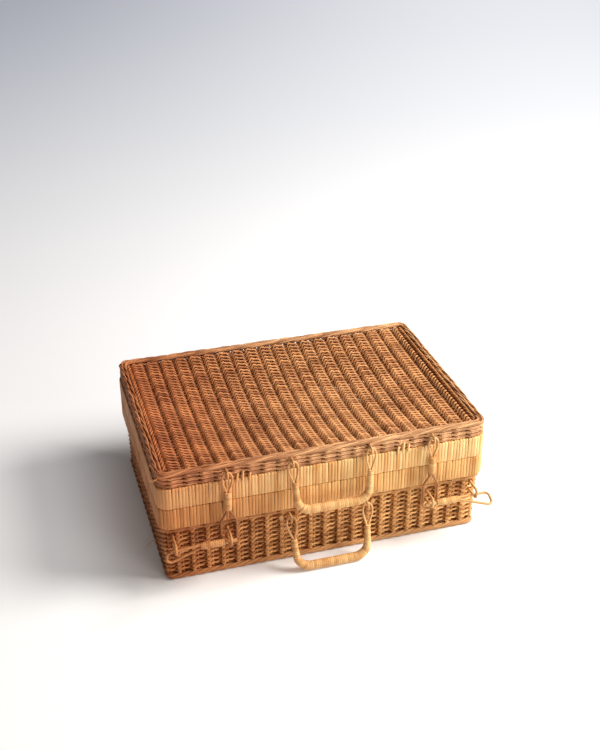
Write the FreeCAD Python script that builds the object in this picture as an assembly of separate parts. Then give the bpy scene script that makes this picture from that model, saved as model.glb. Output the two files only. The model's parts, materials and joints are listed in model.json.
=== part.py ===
"""A woven wicker hamper: a tray-shaped base, a lid on cane hinges, two carrying handles and two peg latches.

All sizes are in millimetres.  The origin is the middle of the flat underside, +X is to the right,
-Y is the front and +Z is up.  The lid is shut, both handles hang down, and both latches are pegged.
"""
import FreeCAD, Part
import os
from math import acos, atan, cos, degrees, radians, sin, tan

from FreeCAD import Vector

# The case
LENGTH = 440.0                # side to side, over the wrapped rims
DEPTH = 304.0                 # front to back, over the wrapped rims
BASE_HEIGHT = 114.5
LID_HEIGHT = 52.2
SEAM_GAP = 0.3                # between the two rims when the lid is shut
CORNER_RADIUS = 16.0          # upright corners of the rims

RIM_HEIGHT = 30.0
RIM_THICKNESS = 9.0
RIM_WRAP_THICKNESS = 1.4      # the flat cane wound round the hoop

WALL_INSET = 4.0              # the base weave stands back from the face of the rims
WALL_THICKNESS = 7.0
WALL_TAPER = 2.0              # the weave leans in this much more at the floor
BASE_WALE_HEIGHT = 7.0
BASE_WALE_PROUD = 1.5         # past the weave below it
FOOT_HEIGHT = 8.0
FOOT_PROUD = 1.0              # past the lower edge of the weave
FOOT_ROUNDING = 3.0
FLOOR_THICKNESS = 6.0

LID_WALE_INSET = 1.0
LID_WALE_THICKNESS = 8.0
LID_BORDER_HEIGHT = 5.0
LID_BORDER_WIDTH = 10.0
LID_BORDER_ROUNDING = 2.4
LID_PANEL_THICKNESS = 6.0
LID_PANEL_DROP = 1.5          # the panel's edge lies below the top of the border
LID_SAG = 18.0                # the middle of the panel hangs this much below its edge
LID_SAG_POWER = 2.4           # higher makes the hollow flatter from side to side
SIDE_CORD_DIAMETER = 6.0

# Cane
CANE = 3.0                    # thin cane of the rings and eyes
FIT_GAP = 0.4                 # between a ring and the cane that turns in it
TAIL_GAP = 0.7                # between two cane ends that run side by side into a winding
TAIL_LENGTH = 8.0             # length of cane end hidden inside a winding
BORE_GAP = 0.05               # from those ends to the hollow of the winding
RING_HEADROOM = 5.0           # from a pivot up to the upper leg of its ring

# Handles
HANDLE_SPAN = 104.0           # pivot to pivot
HANDLE_GRIP_SPAN = 95.0       # leg to leg at the grip
HANDLE_LENGTH = 67.0          # pivot to the middle of the grip
HANDLE_DIAMETER = 12.0
HANDLE_BEND = 18.0
HANDLE_EYE_LENGTH = 26.0
EYE_WIDTH = 11.5
EYE_BEND = 3.6
UPPER_HANDLE_X = 3.0
UPPER_HANDLE_LEAN = 8.0       # degrees that it hangs out from upright
LOWER_HANDLE_X = 0.5
PIVOT_BELOW_LID_TOP = 11.0
PIVOT_BELOW_BASE_WALE = 6.5
PIVOT_OUT = 5.6               # from the face of the rims to every pivot
ANCHOR_DIAMETER = 6.0
ANCHOR_OFFSET = 10.5          # from a lower ring outwards to its anchor peg
ANCHOR_PROUD = 1.5

# Latches
LATCH_SHIFT = 3.5             # both latches sit this far to the right of symmetry
LATCH_FROM_SIDE = 83.5
HASP_EYE_LENGTH = 25.0
NECK_LENGTH = 26.0
NECK_WINDING = 1.6
BOW_CANE = 3.0
BOW_WIDTH = 20.0
BOW_BEND = 8.5
BOW_LEAD = 3.0                # its two ends run side by side this far below the neck
BOW_SHOULDER = 14.0           # then spread to full width over this length
BOW_REACH = 4.0               # clear height below the staple
STAPLE_CANE = 3.5
STAPLE_HEADROOM = 5.0         # clear height above the peg inside a staple
PEG_BELOW_BASE_WALE = 16.5
PEG_PIN_DIAMETER = 5.0
PEG_WRAP_DIAMETER = 9.5
PEG_TIP = 8.0                 # the pin reaches this far past its staple
PEG_SHOULDER = 7.5            # from the staple to the start of the winding
PEG_WRAP_LENGTH = 32.0
PEG_LOOP_LENGTH = 44.0
PEG_LOOP_WIDTH = 19.0
PEG_LOOP_BEND = 5.5
PEG_LOOP_CANE = 3.5
PEG_LOOP_DROPS = {"left": 3.85, "right": 0.0}     # how far the held leg slopes across the loop
PEG_LOOP_TURNS = {"left": 0.0, "right": 70.0}     # degrees that the loop is turned out from hanging
KEEPER_FROM_SIDE = 16.5
KEEPER_ABOVE = 10.0           # from the peg's line up to the upper leg of its keeper
ROOT_DEPTH = 4.5              # a ring, staple or keeper goes this far into the weave

# Hinges
HINGE_FROM_SIDE = 100.0
HINGE_ROD_DIAMETER = 4.0
HINGE_OUT = 4.5               # from the back of the rims to the axis
HINGE_KNUCKLE_GAP = 0.3       # from a knuckle to the rim that turns past it
HINGE_RUNNING_GAP = 0.05      # between the rod and the lid's knuckle
LID_KNUCKLE_LENGTH = 16.0
BASE_KNUCKLE_LENGTH = 9.0
KNUCKLE_SPACING = 0.5
STRAP_LENGTH = 24.0
STRAP_THICKNESS = 1.2

SIDES = {"left": -1, "right": 1}
STRAIGHT = 1e-6               # radians: a path that turns less than this has no arc there

# Sizes that follow
FRONT = -DEPTH / 2
BACK = DEPTH / 2
LID_BOTTOM = BASE_HEIGHT + SEAM_GAP
LID_TOP = LID_BOTTOM + LID_HEIGHT
LID_WALE_BOTTOM = LID_BOTTOM + RIM_HEIGHT
LID_WALE_TOP = LID_TOP - LID_BORDER_HEIGHT
BASE_RIM_BOTTOM = BASE_HEIGHT - RIM_HEIGHT
WALL_TOP = BASE_RIM_BOTTOM - BASE_WALE_HEIGHT
UPPER_PIVOT_HEIGHT = LID_TOP - PIVOT_BELOW_LID_TOP
LOWER_PIVOT_HEIGHT = WALL_TOP - PIVOT_BELOW_BASE_WALE
PEG_HEIGHT = WALL_TOP - PEG_BELOW_BASE_WALE
HINGE_Y = BACK + HINGE_OUT
HINGE_Z = BASE_HEIGHT + SEAM_GAP / 2
PEG_OUT = PIVOT_OUT + BOW_CANE / 2 + PEG_WRAP_DIAMETER / 2 + 2 * FIT_GAP


# Shapes of the case

def outline(inset, height):
    """A rectangle with round corners, set in from the face of the rims."""
    x = LENGTH / 2 - inset
    y = DEPTH / 2 - inset
    radius = CORNER_RADIUS - inset
    edges = []
    for turn in range(4):
        across, along = (x, y) if turn % 2 == 0 else (y, x)
        quarter = FreeCAD.Rotation(Vector(0, 0, 1), 90 * turn)
        centre = Vector(across - radius, along - radius, 0)
        start = centre + Vector(radius, 0, 0)
        middle = centre + Vector(radius * cos(radians(45)), radius * sin(radians(45)), 0)
        end = centre + Vector(0, radius, 0)
        next_start = Vector(-(across - radius), along, 0)
        lift = Vector(0, 0, height)
        start, middle, end, next_start = [quarter.multVec(p) + lift for p in (start, middle, end, next_start)]
        edges.append(Part.Arc(start, middle, end).toShape())
        edges.append(Part.LineSegment(end, next_start).toShape())
    return Part.Wire(edges)


def slab(inset, bottom, top):
    return Part.Face(outline(inset, bottom)).extrude(Vector(0, 0, top - bottom))


def band(inset, thickness, bottom, top):
    """An upright ring that follows the case, with its outer face at inset."""
    return slab(inset, bottom, top).cut(slab(inset + thickness, bottom, top))


def tapered_slab(lower_inset, upper_inset, bottom, top):
    return Part.makeLoft([outline(lower_inset, bottom), outline(upper_inset, top)], True, True)


def rounded_border(inset, width, bottom, top, rounding):
    """A band whose long edges are rounded, for a rolled border."""
    border = band(inset, width, bottom, top)
    level_edges = [e for e in border.Edges if abs(e.BoundBox.ZLength) < 1e-6]
    return border.makeFillet(rounding, level_edges)


# Shapes of cane

def bent_path(points, bends):
    """Straight runs joined by tangent arcs; bends holds one radius for each point between the ends."""
    edges = []
    start = points[0]
    for before, corner, after, bend in zip(points, points[1:], points[2:], bends):
        into = (corner - before).normalize()
        out = (after - corner).normalize()
        half_turn = into.getAngle(out) / 2
        if half_turn < STRAIGHT:
            continue
        arc_start = corner - into * bend * tan(half_turn)
        arc_end = corner + out * bend * tan(half_turn)
        inward = (out - into).normalize()
        arc_middle = corner + inward * bend * (1 / cos(half_turn) - 1)
        edges.append(Part.LineSegment(start, arc_start).toShape())
        edges.append(Part.Arc(arc_start, arc_middle, arc_end).toShape())
        start = arc_end
    edges.append(Part.LineSegment(start, points[-1]).toShape())
    return Part.Wire(edges)


def cane(points, diameter, bends):
    """A round cane along a bent path."""
    section = Part.Wire(Part.makeCircle(diameter / 2, points[0], points[1] - points[0]))
    return bent_path(points, bends).makePipeShell([section], True, False)


def tail_offset(diameter):
    """From the middle of a winding to each of two cane ends inside it."""
    return (diameter + TAIL_GAP) / 2


def bore_for(diameter):
    """The hollow of a winding that holds two ends of this cane side by side."""
    return 2 * diameter + TAIL_GAP + 2 * BORE_GAP


def peg(start, end, diameter):
    return Part.makeCylinder(diameter / 2, start.distanceToPoint(end), start, end - start)


def swung(shape, x, pivot_height, lean):
    """Hang a shape, made about a pivot at the origin, on the front of the case."""
    shape = shape.copy()
    shape.rotate(Vector(0, 0, 0), Vector(-1, 0, 0), lean)
    shape.translate(Vector(x, FRONT - PIVOT_OUT, pivot_height))
    return shape


def wall_loop(x, low, high, out, diameter, bend, root):
    """A loop of cane whose two legs go into the front weave, one above the other."""
    points = [
        Vector(x, FRONT + root, high),
        Vector(x, FRONT - out, high),
        Vector(x, FRONT - out, low),
        Vector(x, FRONT + root, low),
    ]
    return cane(points, diameter, [bend, bend])


def pivot_ring(x, pivot_height, root):
    """A ring that holds an eye: its lower corner curls round the pivot."""
    curl = CANE + FIT_GAP
    return wall_loop(x, pivot_height - curl, pivot_height + RING_HEADROOM, PIVOT_OUT + curl, CANE, curl, root)


def eye(length, slant=0.0):
    """A thin cane loop that hangs from the origin, and whose two ends run down side by side."""
    tail = tail_offset(CANE)
    half_width = EYE_WIDTH / 2
    points = [
        Vector(-tail, 0, -length - TAIL_LENGTH),
        Vector(-tail, 0, -length),
        Vector(-half_width, 0, 0),
        Vector(half_width, 0, 0),
        Vector(tail, 0, -length),
        Vector(tail, 0, -length - TAIL_LENGTH),
    ]
    loop = cane(points, CANE, [3 * CANE, EYE_BEND, EYE_BEND, 3 * CANE])
    loop.rotate(Vector(0, 0, 0), Vector(0, 1, 0), slant)
    return loop


# The base

def make_base():
    """The woven tray, with its rim and the fittings that it carries."""
    foot_inset = WALL_INSET + WALL_TAPER - FOOT_PROUD
    foot_width = WALL_THICKNESS + FOOT_PROUD
    lower_inset = WALL_INSET + WALL_TAPER
    wall = tapered_slab(lower_inset, WALL_INSET, FOOT_HEIGHT, WALL_TOP)
    hollow = tapered_slab(lower_inset + WALL_THICKNESS, WALL_INSET + WALL_THICKNESS, FOOT_HEIGHT, WALL_TOP)
    wale_inset = WALL_INSET - BASE_WALE_PROUD
    nodes = {
        "base_floor": slab(foot_inset + foot_width, 0, FLOOR_THICKNESS),
        "base_foot_border": rounded_border(foot_inset, foot_width, 0, FOOT_HEIGHT, FOOT_ROUNDING),
        "base_wall": wall.cut(hollow),
        "base_wale": band(wale_inset, WALL_THICKNESS + BASE_WALE_PROUD, WALL_TOP, BASE_RIM_BOTTOM),
    }
    nodes.update(make_rim("base", BASE_RIM_BOTTOM))
    fittings = {}
    for side in SIDES:
        fittings.update(make_lower_handle_fixings(side))
        fittings.update(make_peg_fixings(side))
    return threaded(nodes, fittings)


def make_rim(owner, bottom):
    """A flat wooden hoop wound all round with cane."""
    skin = RIM_WRAP_THICKNESS
    hoop = band(skin, RIM_THICKNESS - 2 * skin, bottom + skin, bottom + RIM_HEIGHT - skin)
    wrap = band(0, RIM_THICKNESS, bottom, bottom + RIM_HEIGHT).cut(hoop)
    return {owner + "_rim_hoop": hoop, owner + "_rim_wrap": wrap}


def threaded(shells, fittings):
    """Let the fittings into the weave that they pass through."""
    nodes = dict(fittings)
    for name, shell in shells.items():
        for fitting in fittings.values():
            if shell.BoundBox.intersect(fitting.BoundBox) and shell.common(fitting).Volume > 0:
                shell = shell.cut(fitting)
        nodes[name] = shell
    return nodes


def make_lower_handle_fixings(side):
    x = LOWER_HANDLE_X + SIDES[side] * HANDLE_SPAN / 2
    root = WALL_INSET + ROOT_DEPTH
    anchor_x = x + SIDES[side] * ANCHOR_OFFSET
    anchor_start = Vector(anchor_x, FRONT + root, LOWER_PIVOT_HEIGHT)
    anchor_end = Vector(anchor_x, FRONT + WALL_INSET - ANCHOR_PROUD, LOWER_PIVOT_HEIGHT)
    return {
        "lower_handle_ring_" + side: pivot_ring(x, LOWER_PIVOT_HEIGHT, root),
        "lower_handle_anchor_" + side: peg(anchor_start, anchor_end, ANCHOR_DIAMETER),
    }


def latch_x(side):
    return LATCH_SHIFT + SIDES[side] * (LENGTH / 2 - LATCH_FROM_SIDE)


def keeper_x(side):
    return SIDES[side] * (LENGTH / 2 - KEEPER_FROM_SIDE)


def make_peg_fixings(side):
    """The staple that the bow drops over, and the keeper that holds the peg's loop."""
    root = WALL_INSET + ROOT_DEPTH
    curl = (PEG_PIN_DIAMETER + STAPLE_CANE) / 2 + FIT_GAP
    high = PEG_HEIGHT + PEG_PIN_DIAMETER / 2 + STAPLE_HEADROOM + STAPLE_CANE / 2
    staple = wall_loop(latch_x(side), PEG_HEIGHT - curl, high, PEG_OUT + curl, STAPLE_CANE, curl, root)
    x = keeper_x(side)
    along_loop = abs(x - latch_x(side)) - PEG_SHOULDER - PEG_WRAP_LENGTH
    across = PEG_LOOP_DROPS[side] * along_loop / PEG_LOOP_LENGTH - tail_offset(PEG_LOOP_CANE)
    turn = radians(PEG_LOOP_TURNS[side])
    curl = (PEG_LOOP_CANE + STAPLE_CANE) / 2 + FIT_GAP
    low = PEG_HEIGHT - across * cos(turn) - curl
    out = PEG_OUT + across * sin(turn) + curl
    keeper = wall_loop(x, low, PEG_HEIGHT + KEEPER_ABOVE, out, STAPLE_CANE, curl, root)
    return {"staple_" + side: staple, "keeper_" + side: keeper}


# The lid

def make_lid():
    """The sagging woven panel, its sides and its rim."""
    border_inset = LID_WALE_INSET
    panel_inset = border_inset + LID_BORDER_WIDTH
    nodes = {
        "lid_wale": band(LID_WALE_INSET, LID_WALE_THICKNESS, LID_WALE_BOTTOM, LID_WALE_TOP),
        "lid_border": rounded_border(border_inset, LID_BORDER_WIDTH, LID_WALE_TOP, LID_TOP, LID_BORDER_ROUNDING),
        "lid_panel": lid_panel(panel_inset),
    }
    nodes.update(make_rim("lid", LID_BOTTOM))
    fittings = {}
    root = LID_WALE_INSET + ROOT_DEPTH
    for side, sign in SIDES.items():
        handle_x = UPPER_HANDLE_X + sign * HANDLE_SPAN / 2
        fittings["upper_handle_ring_" + side] = pivot_ring(handle_x, UPPER_PIVOT_HEIGHT, root)
        fittings["hasp_ring_" + side] = pivot_ring(latch_x(side), UPPER_PIVOT_HEIGHT, root)
    nodes = threaded(nodes, fittings)
    for side, sign in SIDES.items():
        nodes["lid_side_cord_" + side] = side_cord(sign, panel_inset)
    return nodes


def sag(x, y, half_length, half_depth):
    """How far the panel hangs below its edge at a point."""
    across = 1 - min(1, abs(x) / half_length) ** LID_SAG_POWER
    along = 1 - min(1, abs(y) / half_depth) ** 2
    return LID_SAG * across * along


def lid_panel(inset):
    """The woven top: an even thickness under a hollow surface, between the two side cords."""
    half_length = LENGTH / 2 - inset - SIDE_CORD_DIAMETER
    half_depth = DEPTH / 2 - inset
    margin = 10.0
    columns, rows = 21, 15
    edge_height = LID_TOP - LID_PANEL_DROP
    grid = []
    for column in range(columns):
        x = (2 * column / (columns - 1) - 1) * (half_length + margin)
        line = []
        for row in range(rows):
            y = (2 * row / (rows - 1) - 1) * (half_depth + margin)
            line.append(Vector(x, y, edge_height - sag(x, y, half_length, half_depth)))
        grid.append(line)
    surface = Part.BSplineSurface()
    surface.interpolate(grid)
    sheet = surface.toShape().extrude(Vector(0, 0, -LID_PANEL_THICKNESS))
    low = edge_height - LID_SAG - 2 * LID_PANEL_THICKNESS
    panel = sheet.common(slab(inset, low, LID_TOP))
    for sign in SIDES.values():
        panel = panel.cut(cord_channel(sign, inset, low))
    return panel


def side_cord_half_length():
    """A side cord stops where the border starts to turn its corner."""
    return DEPTH / 2 - CORNER_RADIUS


def cord_channel(sign, inset, low):
    """The room beside the panel that a side cord lies in."""
    half_length = side_cord_half_length()
    middle = sign * (LENGTH / 2 - inset - SIDE_CORD_DIAMETER / 2)
    corner = Vector(middle - SIDE_CORD_DIAMETER / 2, -half_length, low)
    return Part.makeBox(SIDE_CORD_DIAMETER, 2 * half_length, LID_TOP - low, corner)


def side_cord(sign, inset):
    """A straight cane laid front to back along one end of the panel."""
    radius = SIDE_CORD_DIAMETER / 2
    x = sign * (LENGTH / 2 - inset - radius)
    half_length = side_cord_half_length()
    z = LID_TOP - LID_PANEL_DROP - radius
    return peg(Vector(x, -half_length, z), Vector(x, half_length, z), SIDE_CORD_DIAMETER)


# Hinges

def make_hinge(side):
    """A cane rod held in two loops on the base, with one loop of the lid turning on it between them."""
    x = SIDES[side] * (LENGTH / 2 - HINGE_FROM_SIDE)
    radius = HINGE_OUT - HINGE_KNUCKLE_GAP
    rod_length = LID_KNUCKLE_LENGTH + 2 * (KNUCKLE_SPACING + BASE_KNUCKLE_LENGTH)
    rod = cylinder_along_x(x, rod_length, HINGE_ROD_DIAMETER / 2)
    lid_hole = HINGE_ROD_DIAMETER / 2 + HINGE_RUNNING_GAP
    lid_loop = knuckle(x, LID_KNUCKLE_LENGTH, radius, lid_hole, 1)
    offset = (LID_KNUCKLE_LENGTH + BASE_KNUCKLE_LENGTH) / 2 + KNUCKLE_SPACING
    base_loops = [
        knuckle(x + way * offset, BASE_KNUCKLE_LENGTH, radius, HINGE_ROD_DIAMETER / 2, -1)
        for way in (-1, 1)
    ]
    return {
        "hinge_rod_" + side: rod,
        "hinge_lid_loop_" + side: lid_loop,
        "hinge_base_loops_" + side: Part.makeCompound(base_loops),
    }


def cylinder_along_x(x, length, radius):
    start = Vector(x - length / 2, HINGE_Y, HINGE_Z)
    return Part.makeCylinder(radius, length, start, Vector(1, 0, 0))


def knuckle(x, length, radius, hole_radius, way):
    """A loop of flat cane round the rod, with its strap lying up (way 1) or down (way -1) a rim."""
    loop = cylinder_along_x(x, length, radius)
    strap_outer = HINGE_KNUCKLE_GAP + STRAP_THICKNESS
    foot = SEAM_GAP / 2 if way > 0 else -SEAM_GAP / 2 - STRAP_LENGTH
    strap = Part.makeBox(length, strap_outer, STRAP_LENGTH, Vector(x - length / 2, BACK, HINGE_Z + foot))
    web_height = radius
    web_foot = SEAM_GAP / 2 if way > 0 else -SEAM_GAP / 2 - web_height
    web = Part.makeBox(length, HINGE_OUT, web_height, Vector(x - length / 2, BACK, HINGE_Z + web_foot))
    hole = cylinder_along_x(x, length, hole_radius)
    return loop.fuse(strap).fuse(web).removeSplitter().cut(hole)


# Handles

def handle_path(start_length):
    """The middle line of a handle, from one leg to the other, starting that far below the pivots."""
    half_span = HANDLE_SPAN / 2
    half_grip = HANDLE_GRIP_SPAN / 2
    share = start_length / HANDLE_LENGTH
    start_x = half_span + (half_grip - half_span) * share
    return [
        Vector(-start_x, 0, -start_length),
        Vector(-half_grip, 0, -HANDLE_LENGTH),
        Vector(half_grip, 0, -HANDLE_LENGTH),
        Vector(start_x, 0, -start_length),
    ]


def make_handle(owner, x, pivot_height, lean):
    """A bent cane core, wound over its whole length, with an eye at each end."""
    bends = [HANDLE_BEND, HANDLE_BEND]
    slant = degrees(atan((HANDLE_SPAN - HANDLE_GRIP_SPAN) / 2 / HANDLE_LENGTH))
    core = cane(handle_path(HANDLE_EYE_LENGTH + TAIL_LENGTH), bore_for(CANE), bends)
    bore = cane(handle_path(HANDLE_EYE_LENGTH), bore_for(CANE), bends)
    wrap = cane(handle_path(HANDLE_EYE_LENGTH), HANDLE_DIAMETER, bends).cut(bore)
    shapes = {"_core": core, "_wrap": wrap}
    for side, sign in SIDES.items():
        loop = eye(HANDLE_EYE_LENGTH, sign * slant)
        loop.translate(Vector(sign * HANDLE_SPAN / 2, 0, 0))
        shapes["_eye_" + side] = loop
    return {owner + name: swung(shape, x, pivot_height, lean) for name, shape in shapes.items()}


def lower_handle_lean():
    """The lower handle leans out until its grip lies on the ground, if it is long enough to reach it."""
    drop = LOWER_PIVOT_HEIGHT - HANDLE_DIAMETER / 2 - FIT_GAP
    if drop < HANDLE_LENGTH:
        return degrees(acos(drop / HANDLE_LENGTH))
    return UPPER_HANDLE_LEAN


# Latches

def make_hasp(side):
    """An eye, a wound neck and a long bow that drops over the staple."""
    owner = "hasp_" + side
    neck_end = HASP_EYE_LENGTH + NECK_LENGTH
    neck_top = Vector(0, 0, -HASP_EYE_LENGTH)
    neck_bottom = Vector(0, 0, -neck_end)
    neck_middle = (neck_top + neck_bottom) / 2
    neck = peg(neck_top, neck_bottom, bore_for(max(CANE, BOW_CANE)) + 2 * NECK_WINDING)
    for end, diameter in ((neck_top, CANE), (neck_bottom, BOW_CANE)):
        neck = neck.cut(peg(end, neck_middle, bore_for(diameter)))
    staple_foot = PEG_HEIGHT - PEG_PIN_DIAMETER / 2 - STAPLE_CANE
    bow_end = UPPER_PIVOT_HEIGHT - staple_foot + BOW_CANE / 2 + BOW_REACH
    bow_start = neck_end + BOW_LEAD
    tail = tail_offset(BOW_CANE)
    half_width = BOW_WIDTH / 2
    points = [
        Vector(-tail, 0, TAIL_LENGTH - neck_end),
        Vector(-tail, 0, -bow_start),
        Vector(-half_width, 0, -bow_start - BOW_SHOULDER),
        Vector(-half_width, 0, -bow_end),
        Vector(half_width, 0, -bow_end),
        Vector(half_width, 0, -bow_start - BOW_SHOULDER),
        Vector(tail, 0, -bow_start),
        Vector(tail, 0, TAIL_LENGTH - neck_end),
    ]
    soft_bend = 3 * BOW_CANE
    bow = cane(points, BOW_CANE, [soft_bend, soft_bend, BOW_BEND, BOW_BEND, soft_bend, soft_bend])
    shapes = {"_eye": eye(HASP_EYE_LENGTH), "_neck": neck, "_bow": bow}
    return {
        owner + name: swung(shape, latch_x(side), UPPER_PIVOT_HEIGHT, 0)
        for name, shape in shapes.items()
    }


def make_peg(side):
    """A pin with a wound grip and a loop for a finger, which slides out sideways."""
    owner = "peg_" + side
    sign = SIDES[side]
    wrap_start = PEG_SHOULDER
    wrap_end = PEG_SHOULDER + PEG_WRAP_LENGTH
    pin_end = wrap_end - TAIL_LENGTH
    pin = peg(Vector(-sign * PEG_TIP, 0, 0), Vector(sign * pin_end, 0, 0), PEG_PIN_DIAMETER)
    wrap = peg(Vector(sign * wrap_start, 0, 0), Vector(sign * wrap_end, 0, 0), PEG_WRAP_DIAMETER)
    loop_bore = peg(Vector(sign * pin_end, 0, 0), Vector(sign * wrap_end, 0, 0), bore_for(PEG_LOOP_CANE))
    wrap = wrap.cut(pin).cut(loop_bore)
    loop = peg_loop(sign, wrap_end, PEG_LOOP_DROPS[side])
    loop.rotate(Vector(0, 0, 0), Vector(-1, 0, 0), PEG_LOOP_TURNS[side])
    place = Vector(latch_x(side), FRONT - PEG_OUT, PEG_HEIGHT)
    nodes = {owner + "_pin": pin, owner + "_wrap": wrap, owner + "_loop": loop}
    for shape in nodes.values():
        shape.translate(place)
    return nodes


def peg_loop(sign, start, drop):
    """A loop whose upper leg runs through the keeper and whose other leg hangs below it."""
    tail = tail_offset(PEG_LOOP_CANE)
    end = start + PEG_LOOP_LENGTH - PEG_LOOP_CANE / 2
    points = [
        Vector(sign * (start - TAIL_LENGTH), 0, tail),
        Vector(sign * start, 0, tail),
        Vector(sign * end, 0, tail - drop),
        Vector(sign * end, 0, -PEG_LOOP_WIDTH),
        Vector(sign * start, 0, -tail),
        Vector(sign * (start - TAIL_LENGTH), 0, -tail),
    ]
    gentle = 2 * PEG_LOOP_CANE
    return cane(points, PEG_LOOP_CANE, [gentle, PEG_LOOP_BEND, PEG_LOOP_BEND, gentle])


def make_parts():
    parts = {}
    parts.update(make_base())
    parts.update(make_lid())
    parts.update(make_handle("upper_handle", UPPER_HANDLE_X, UPPER_PIVOT_HEIGHT, UPPER_HANDLE_LEAN))
    parts.update(make_handle("lower_handle", LOWER_HANDLE_X, LOWER_PIVOT_HEIGHT, lower_handle_lean()))
    for side in SIDES:
        parts.update(make_hinge(side))
        parts.update(make_hasp(side))
        parts.update(make_peg(side))
    return parts


os.makedirs("parts", exist_ok=True)
for node, shape in sorted(make_parts().items()):
    shape.exportStep("parts/" + node + ".step")
    print("%-28s %8.1f mm3 valid %s solids %d" % (node, shape.Volume, shape.isValid(), len(shape.Solids)))
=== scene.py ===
"""The finished looks of a woven wicker hamper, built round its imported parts.

Lengths are in metres, in the frame of the parts: +X is right, -Y is the front and +Z is up.
"""
import json
import math

import bpy
from bpy.props import FloatProperty, FloatVectorProperty, IntProperty, PointerProperty
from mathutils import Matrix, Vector


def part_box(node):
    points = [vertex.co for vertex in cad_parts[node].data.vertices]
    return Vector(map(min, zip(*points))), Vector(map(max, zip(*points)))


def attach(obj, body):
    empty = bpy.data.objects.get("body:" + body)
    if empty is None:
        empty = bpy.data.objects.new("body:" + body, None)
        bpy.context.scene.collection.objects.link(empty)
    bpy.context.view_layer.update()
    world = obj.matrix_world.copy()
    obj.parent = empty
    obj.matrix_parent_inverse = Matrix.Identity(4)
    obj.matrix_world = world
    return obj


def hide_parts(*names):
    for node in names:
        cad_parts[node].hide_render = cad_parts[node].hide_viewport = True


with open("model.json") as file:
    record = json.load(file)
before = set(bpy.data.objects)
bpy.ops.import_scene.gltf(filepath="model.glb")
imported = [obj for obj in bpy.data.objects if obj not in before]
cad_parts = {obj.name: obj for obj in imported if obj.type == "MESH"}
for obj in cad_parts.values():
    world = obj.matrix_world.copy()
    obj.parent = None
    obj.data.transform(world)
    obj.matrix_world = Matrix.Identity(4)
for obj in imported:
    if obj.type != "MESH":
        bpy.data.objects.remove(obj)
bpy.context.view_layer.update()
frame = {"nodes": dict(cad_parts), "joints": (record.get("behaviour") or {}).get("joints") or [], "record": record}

bl_info = {
    "name": "Wicker Hamper",
    "version": (1, 0, 0),
    "blender": (4, 5, 0),
    "location": "3D View > Sidebar > Hamper",
    "description": "Weaves, binds and winds the cane of a wicker hamper round its packed parts",
    "category": "Add Mesh",
}

UP = (0.0, 0.0, 1.0)
BACKWARD = (0.0, 1.0, 0.0)
SIDES = ("left", "right")
HANDLES = ("upper_handle", "lower_handle")
HANDLE_HALF_SPAN = 0.052
HANDLE_RADIUS = 0.006
PIVOTS = {joint["child"]: Vector(joint["pos_m"]) for joint in frame["joints"] if joint["type"] == "hinge"}


# Sums on node sockets

class Wire:
    """The output of a node; sums with it add Math nodes to its tree."""

    def __init__(self, graph, socket):
        self.graph = graph
        self.socket = socket

    def __add__(self, other):
        return self.graph.math("ADD", self, other)

    def __radd__(self, other):
        return self.graph.math("ADD", other, self)

    def __sub__(self, other):
        return self.graph.math("SUBTRACT", self, other)

    def __rsub__(self, other):
        return self.graph.math("SUBTRACT", other, self)

    def __mul__(self, other):
        return self.graph.math("MULTIPLY", self, other)

    def __rmul__(self, other):
        return self.graph.math("MULTIPLY", other, self)

    def __truediv__(self, other):
        return self.graph.math("DIVIDE", self, other)

    def __rtruediv__(self, other):
        return self.graph.math("DIVIDE", other, self)

    def __mod__(self, other):
        return self.graph.math("FLOORED_MODULO", self, other)

    def __pow__(self, other):
        return self.graph.math("POWER", self, other)

    def __neg__(self):
        return self.graph.math("MULTIPLY", self, -1.0)

    def __abs__(self):
        return self.graph.math("ABSOLUTE", self)


class Graph:
    """Adds nodes to one tree and joins them up."""

    def __init__(self, tree):
        self.tree = tree

    def node(self, kind, settings=None, sockets=None):
        made = self.tree.nodes.new(kind)
        for name, value in (settings or {}).items():
            setattr(made, name, value)
        for name, value in (sockets or {}).items():
            self.feed(value, made.inputs[name])
        return made

    def take(self, kind, settings=None, sockets=None, output=0):
        return Wire(self, self.node(kind, settings, sockets).outputs[output])

    def feed(self, value, socket):
        if isinstance(value, Wire):
            self.tree.links.new(value.socket, socket)
        else:
            socket.default_value = value

    def math(self, operation, *values):
        return self.take("ShaderNodeMath", {"operation": operation}, dict(enumerate(values)))

    def vector(self, operation, *values, output=0):
        return self.take("ShaderNodeVectorMath", {"operation": operation}, dict(enumerate(values)), output)

    def scaled(self, vector, amount):
        return self.take("ShaderNodeVectorMath", {"operation": "SCALE"}, {0: vector, "Scale": amount})

    def joined(self, x, y, z):
        return self.take("ShaderNodeCombineXYZ", None, {0: x, 1: y, 2: z})

    def parts_of(self, vector):
        split = self.node("ShaderNodeSeparateXYZ", None, {0: vector})
        return [Wire(self, output) for output in split.outputs]

    def eased(self, value, start, end):
        """0 before start, 1 after end, and smooth between them."""
        settings = {"interpolation_type": "SMOOTHSTEP"}
        return self.take("ShaderNodeMapRange", settings, {"Value": value, "From Min": start, "From Max": end})

    def clamped(self, value):
        return self.take("ShaderNodeClamp", None, {"Value": value})

    def mixed(self, share, first, second):
        """A colour between two colours."""
        sockets = {"Factor": share, 6: first, 7: second}
        return self.take("ShaderNodeMix", {"data_type": "RGBA"}, sockets, 2)


# Growing pieces with geometry nodes

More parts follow.
